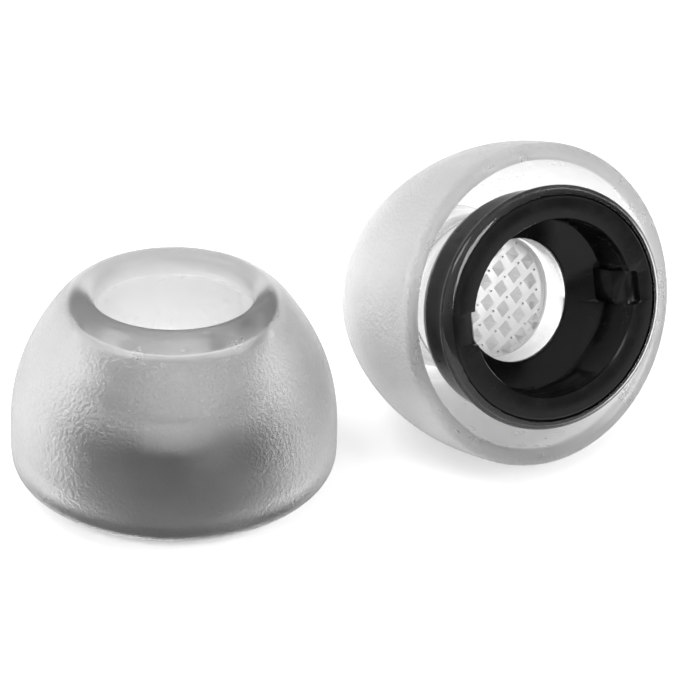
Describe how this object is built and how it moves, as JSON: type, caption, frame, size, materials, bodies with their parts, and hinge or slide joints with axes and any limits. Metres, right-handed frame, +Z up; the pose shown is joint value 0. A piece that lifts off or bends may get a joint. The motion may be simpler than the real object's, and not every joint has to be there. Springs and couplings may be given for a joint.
{
  "type": "earphone ear tip pair",
  "caption": "Pair of frosted silicone in-ear tips: domed canopy with an oval nozzle, black snap-fit connector ring and clear wax guard; one stands, one lies on its side.",
  "frame": {"origin": "centre of the pair's footprint on the surface it rests on", "axes": "+X from the standing tip to the lying tip, +Y away from the viewer, +Z up along the standing tip's nozzle"},
  "size_m": [0.0252, 0.0164, 0.0125],
  "materials": {
    "canopy": "frosted translucent silicone with a fine orange-peel texture",
    "core_sleeve": "clear silicone, smooth",
    "connector": "black moulded plastic, satin face with a polished edge",
    "wax_guard": "clear moulded plastic"
  },
  "bodies": {
    "standing_tip": {"standing_canopy": "canopy", "standing_core_sleeve": "core_sleeve", "standing_connector": "connector", "standing_wax_guard": "wax_guard"},
    "lying_tip": {"lying_canopy": "canopy", "lying_core_sleeve": "core_sleeve", "lying_connector": "connector", "lying_wax_guard": "wax_guard"}
  },
  "joints": [
    {"name": "lying_tip_slide", "type": "slide", "parent": "standing_tip", "child": "lying_tip", "axis": [1, 0, 0], "range_m": [0, 0.02]}
  ]
}
